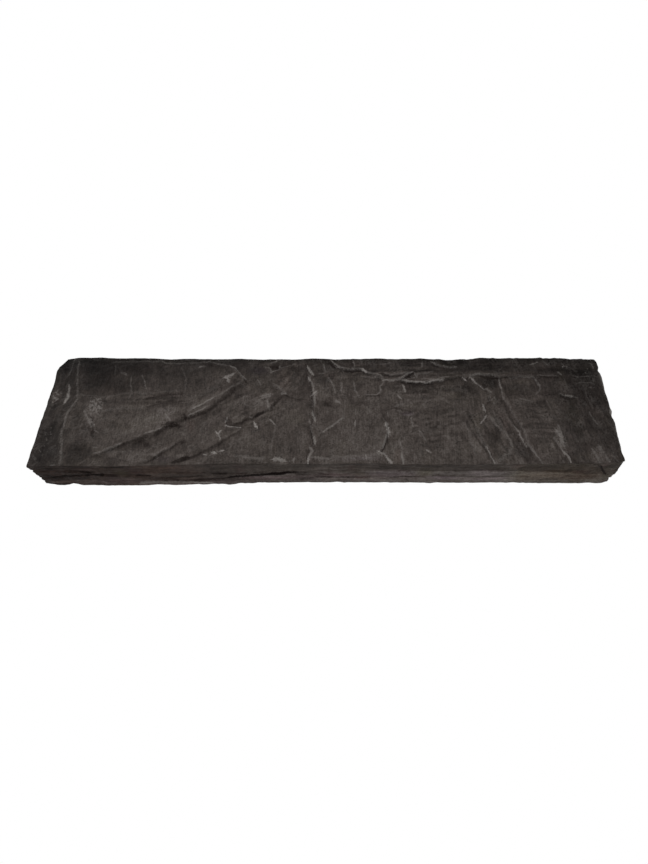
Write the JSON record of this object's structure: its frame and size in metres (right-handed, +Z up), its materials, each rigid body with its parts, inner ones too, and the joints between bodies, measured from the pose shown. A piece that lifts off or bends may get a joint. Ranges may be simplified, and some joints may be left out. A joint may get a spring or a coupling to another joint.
{
  "type": "slate slab",
  "caption": "Long riven slate slab with a split, ledged top, layered broken sides and a flat underside to rest on.",
  "frame": {"origin": "centre of the underside", "axes": "+X along the slab, +Y from the front wall to the back wall, +Z up out of the split top face"},
  "size_m": [1.0226, 0.2305, 0.0845],
  "materials": {
    "slate": "riven, matt, dark warm grey with paler bruised edges"
  },
  "bodies": {
    "root": {"slab": "slate"}
  },
  "joints": []
}
